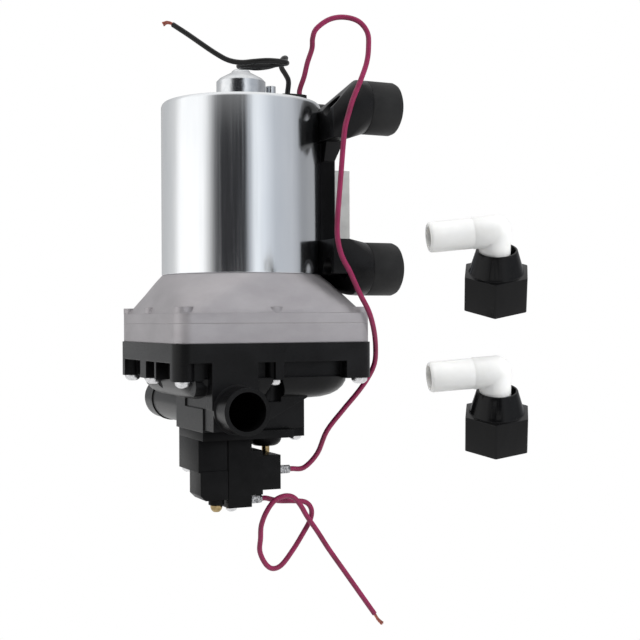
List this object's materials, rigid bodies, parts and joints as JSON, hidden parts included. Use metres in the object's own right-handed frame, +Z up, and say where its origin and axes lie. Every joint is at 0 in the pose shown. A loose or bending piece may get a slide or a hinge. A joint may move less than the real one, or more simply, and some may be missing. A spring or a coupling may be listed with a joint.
{
  "type": "caravan water pump",
  "caption": "Caravan water pump: upright round motor on a square diaphragm head with a pressure switch, rubber wall feet, coaxial ports, loose leads and separate elbow hose fittings.",
  "frame": {"origin": "centre of the four foot screws, on the wall that the pump hangs on", "axes": "+Z up along the motor, from the pump head to the wire end; +Y into the wall; +X to the right, along the ports"},
  "size_m": [0.2189, 0.1126, 0.2862],
  "materials": {
    "black_gloss": "smooth moulded plastic",
    "black_insulation": "black cable insulation",
    "black_moulding": "glass filled plastic, satin",
    "brass": "plain brass",
    "brown_card": "brown laminate",
    "carbon": "pressed carbon",
    "cast_metal": "light grey pressure die cast aluminium, fine grained and satin",
    "copper": "bare copper",
    "dark_ferrite": "pressed ferrite",
    "grey_plate": "pale grey plate, satin",
    "plated_steel": "bright zinc plated sheet, drawn vertically",
    "red_insulation": "raspberry red cable insulation",
    "red_switch": "red moulded switch case",
    "rubber": "soft black rubber",
    "steel": "plated screws and bearings",
    "white_nylon": "natural white nylon, slightly translucent",
    "white_plastic": "white acetal"
  },
  "bodies": {
    "pump": {"motor_can": "plated_steel", "end_plate": "plated_steel", "bearing_cup": "plated_steel", "wire_grommet": "rubber", "magnets": "dark_ferrite", "brush_card": "brown_card", "brush_spring_front": "steel", "brush_spring_back": "steel", "rear_bearing": "steel", "front_bearing": "steel", "motor_bolts": "steel", "motor_adaptor": "cast_metal", "drive_housing": "cast_metal", "diaphragm": "rubber", "valve_plate": "white_plastic", "inlet_valves": "rubber", "outlet_valve": "rubber", "plate_seal": "rubber", "pump_head": "black_moulding", "head_screws": "steel", "check_spring": "steel", "switch_diaphragm": "rubber", "switch_flange": "black_moulding", "switch_spring": "steel", "switch_body": "black_moulding", "switch_cover": "black_moulding", "switch_screws": "steel", "micro_switch": "red_switch", "terminals": "brass", "crimp_sleeves": "steel", "switch_stud": "brass", "mount_saddle": "black_moulding", "saddle_screws": "steel", "base_web": "grey_plate", "rubber_feet": "rubber", "foot_sleeves": "steel", "black_lead": "black_insulation", "red_lead": "red_insulation", "red_tail": "red_insulation", "bare_ends": "copper", "elbow_upper": "white_nylon", "elbow_lower": "white_nylon", "nut_washers": "rubber"},
    "rotor": {"armature_shaft": "steel", "armature_core": "steel", "armature_windings": "copper", "commutator": "copper", "cam_hub": "steel"},
    "rocker": {"hub_bearing": "steel", "wobble_plate": "white_plastic", "pistons": "white_plastic", "piston_screws": "steel"},
    "brush_front": {"brush_front": "carbon"},
    "brush_back": {"brush_back": "carbon"},
    "plunger": {"switch_plunger": "white_plastic"},
    "button": {"switch_button": "white_plastic"},
    "adjuster": {"adjusting_screw": "brass"},
    "poppet": {"check_poppet": "white_plastic"},
    "nut_upper": {"nut_upper": "black_gloss"},
    "nut_lower": {"nut_lower": "black_gloss"}
  },
  "joints": [
    {"name": "rotor_spin", "type": "hinge", "parent": "pump", "child": "rotor", "pos_m": [0, -0.065, -0.072], "axis": [0, 0, 1], "continuous": true},
    {"name": "cam_rock", "type": "hinge", "parent": "rotor", "child": "rocker", "pos_m": [0, -0.065, -0.0726], "axis": [0.061, 0, 0.9981], "continuous": true, "deforming": ["diaphragm"]},
    {"name": "brush_front_slide", "type": "slide", "parent": "pump", "child": "brush_front", "axis": [1, 0, 0], "range_m": [0, 0.004], "stiffness_N_per_m": 150, "springref_m": -0.006, "deforming": ["brush_spring_front"]},
    {"name": "brush_back_slide", "type": "slide", "parent": "pump", "child": "brush_back", "axis": [-1, 0, 0], "range_m": [0, 0.004], "stiffness_N_per_m": 150, "springref_m": -0.006, "deforming": ["brush_spring_back"]},
    {"name": "plunger_slide", "type": "slide", "parent": "pump", "child": "plunger", "axis": [0, 0, -1], "range_m": [0, 0.0012], "stiffness_N_per_m": 900, "springref_m": -0.003, "deforming": ["switch_spring"]},
    {"name": "button_slide", "type": "slide", "parent": "pump", "child": "button", "axis": [0, 0, -1], "range_m": [0, 0.0012]},
    {"name": "adjuster_turn", "type": "hinge", "parent": "pump", "child": "adjuster", "pos_m": [0.024, -0.087, -0.142], "axis": [0, 0, 1], "range_deg": [-360, 360]},
    {"name": "poppet_slide", "type": "slide", "parent": "pump", "child": "poppet", "axis": [0, 0, -1], "range_m": [0, 0.0025], "stiffness_N_per_m": 80, "springref_m": -0.004, "deforming": ["check_spring"]},
    {"name": "nut_upper_spin", "type": "hinge", "parent": "pump", "child": "nut_upper", "pos_m": [0.1447, -0.0156, -0.0498], "axis": [0.3792, -0.2137, 0.9003], "continuous": true},
    {"name": "nut_lower_spin", "type": "hinge", "parent": "pump", "child": "nut_lower", "pos_m": [0.1447, -0.0156, -0.1039], "axis": [0.2865, -0.1614, 0.9444], "continuous": true}
  ],
  "couplings": [
    {"joint": "cam_rock", "follows": "rotor_spin", "ratio": -1},
    {"joint": "button_slide", "follows": "plunger_slide", "ratio": 1}
  ]
}
